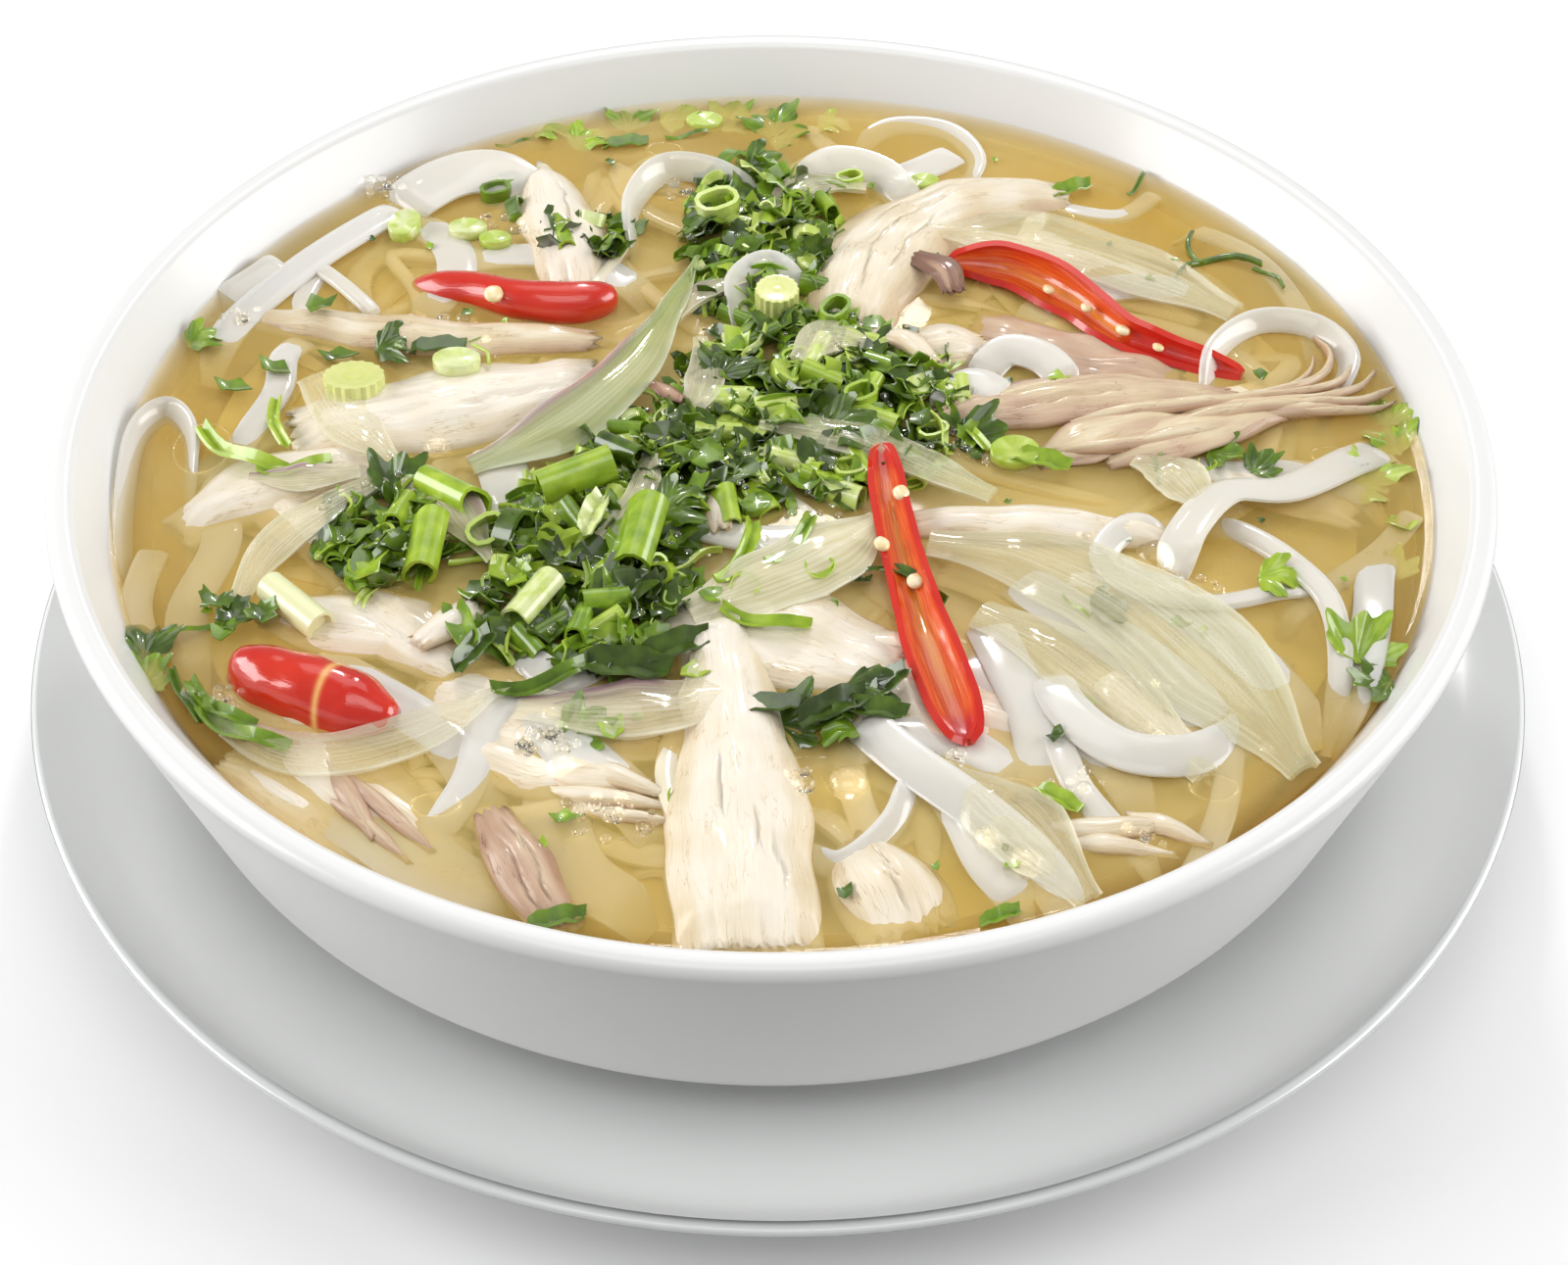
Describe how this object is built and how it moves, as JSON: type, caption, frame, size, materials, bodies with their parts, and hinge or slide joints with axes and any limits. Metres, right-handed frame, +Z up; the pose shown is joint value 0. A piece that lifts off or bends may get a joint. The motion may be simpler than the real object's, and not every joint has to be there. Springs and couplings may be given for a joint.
{
  "type": "chicken noodle soup in a bowl on an underplate",
  "caption": "Round white bowl of clear chicken noodle soup with flat rice noodles, herbs, onion slices and red chilli, standing on a wide underplate.",
  "frame": {"origin": "centre of the underplate's foot ring, on the surface it stands on", "axes": "+Z up; -Y towards the eater; +X to the eater's right"},
  "size_m": [0.2422, 0.2422, 0.062],
  "materials": {
    "bowl_glaze": "glossy white glaze",
    "plate_glaze": "glossy white glaze",
    "broth": "clear golden liquid, stood in for by gloss plastic",
    "noodle": "wet rice noodle, stood in for by gloss plastic",
    "chicken": "moist fibrous white meat, stood in for by matte plastic",
    "dark_meat": "moist brown-pink meat, stood in for by matte plastic",
    "onion": "wet translucent onion, stood in for by gloss plastic",
    "chilli": "glossy red skin, stood in for by gloss plastic",
    "herb": "wet leaves, stood in for by matte plastic",
    "scallion": "wet stem, stood in for by gloss plastic"
  },
  "bodies": {
    "root": {"bowl": "bowl_glaze", "broth": "broth", "chicken_back": "chicken", "chicken_dark_front": "dark_meat", "chicken_dark_strip": "dark_meat", "chicken_fold": "chicken", "chicken_fringe": "chicken", "chicken_front": "chicken", "chicken_knob": "chicken", "chicken_left": "chicken", "chicken_left_outer": "chicken", "chicken_low_front": "chicken", "chicken_sheet": "chicken", "chicken_shreds_front": "chicken", "chicken_shreds_left": "chicken", "chicken_shreds_right": "chicken", "chicken_strip_back": "chicken", "chicken_strip_right": "chicken", "chilli_back": "chilli", "chilli_front": "chilli", "chilli_left": "chilli", "chilli_tip": "chilli", "herb_bunch_back": "herb", "herb_bunch_left": "herb", "herb_heap": "herb", "noodles": "noodle", "onion_back_right": "onion", "onion_centre": "onion", "onion_front": "onion", "onion_front_left": "onion", "onion_leaf": "onion", "onion_left": "onion", "onion_left_upper": "onion", "onion_petal": "onion", "onion_petal_inner": "onion", "onion_purple": "onion", "onion_wide": "onion", "scallion_slice_back": "scallion", "scallion_slice_left": "scallion", "scallion_stem": "scallion", "underplate": "plate_glaze"}
  },
  "joints": []
}
